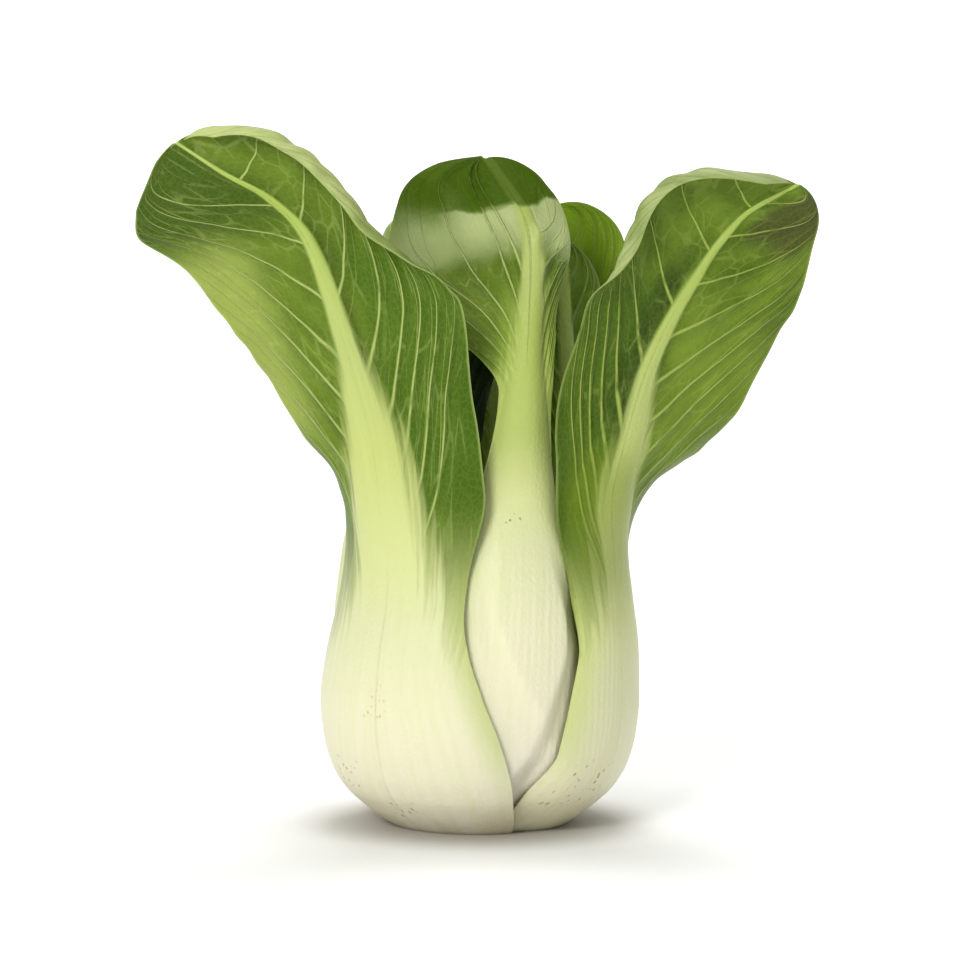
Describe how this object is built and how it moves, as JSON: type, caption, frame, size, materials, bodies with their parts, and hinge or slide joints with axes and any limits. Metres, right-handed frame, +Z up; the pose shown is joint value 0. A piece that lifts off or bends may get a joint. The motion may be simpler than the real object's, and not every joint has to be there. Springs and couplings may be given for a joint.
{
  "type": "bok choy",
  "caption": "Head of bok choy standing on its cut base: a short stem packed round with thick pale petioles that open into green veined leaf blades.",
  "frame": {"origin": "centre of the flat cut face that the head stands on", "axes": "+Z up along the head, front towards -Y, +X to the right of someone facing the front"},
  "size_m": [0.1687, 0.1152, 0.1781],
  "materials": {
    "leaf": "green veined blade on a pale, smooth and slightly glossy petiole",
    "heart_leaf": "yellow-green young leaf, slightly glossy",
    "stem": "cut creamy white plant flesh, dull"
  },
  "bodies": {
    "root": {"leaf_front_left": "leaf", "leaf_front_right": "leaf", "leaf_back": "leaf", "leaf_front_middle": "leaf", "leaf_left": "leaf", "leaf_back_right": "leaf", "leaf_inner_right": "leaf", "leaf_inner_left": "leaf", "leaf_inner_back": "heart_leaf", "leaf_inner_far_left": "heart_leaf", "leaf_heart_front": "heart_leaf", "leaf_heart_back": "heart_leaf", "cut_stem": "stem"}
  },
  "joints": []
}
